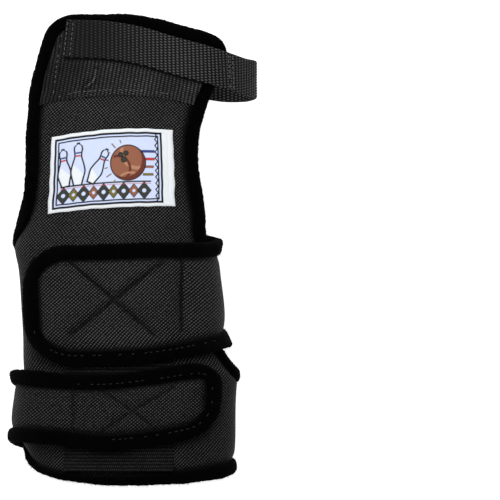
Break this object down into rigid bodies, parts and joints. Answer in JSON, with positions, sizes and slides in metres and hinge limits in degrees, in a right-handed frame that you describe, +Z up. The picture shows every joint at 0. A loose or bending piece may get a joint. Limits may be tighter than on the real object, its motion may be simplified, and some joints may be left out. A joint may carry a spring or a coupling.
{
  "type": "bowling glove",
  "caption": "Wrist-support sports glove without fingers: a padded hand, wrist and forearm panel closed by padded wrist straps and a webbing strap at the knuckles.",
  "frame": {"origin": "middle of the glove's footprint, on the surface it lies on, palm side down", "axes": "+Y from the forearm to the fingers, +Z up through the back of the hand, +X towards the side the knuckle strap loops out of"},
  "size_m": [0.1252, 0.2358, 0.0563],
  "materials": {
    "nylon_cloth": "coarse woven nylon cloth over foam",
    "suede": "black suede",
    "plush_tape": "soft plush edge tape",
    "webbing": "woven polyester webbing",
    "loop_pile": "loop pile tape",
    "hook_tape": "hook tape",
    "label_cloth": "printed satin label",
    "thread": "sewing thread"
  },
  "bodies": {
    "root": {"back_panel": "nylon_cloth", "suede_lining": "suede", "upper_strap": "nylon_cloth", "lower_strap": "nylon_cloth", "hand_edge_tape": "plush_tape", "cuff_edge_tape": "plush_tape", "upper_strap_tape": "plush_tape", "lower_strap_tape": "plush_tape", "upper_hook_patch": "hook_tape", "lower_hook_patch": "hook_tape", "wrist_loop_patch": "loop_pile", "knuckle_loop_patch": "loop_pile", "label": "label_cloth", "knuckle_strap": "webbing"}
  },
  "joints": []
}
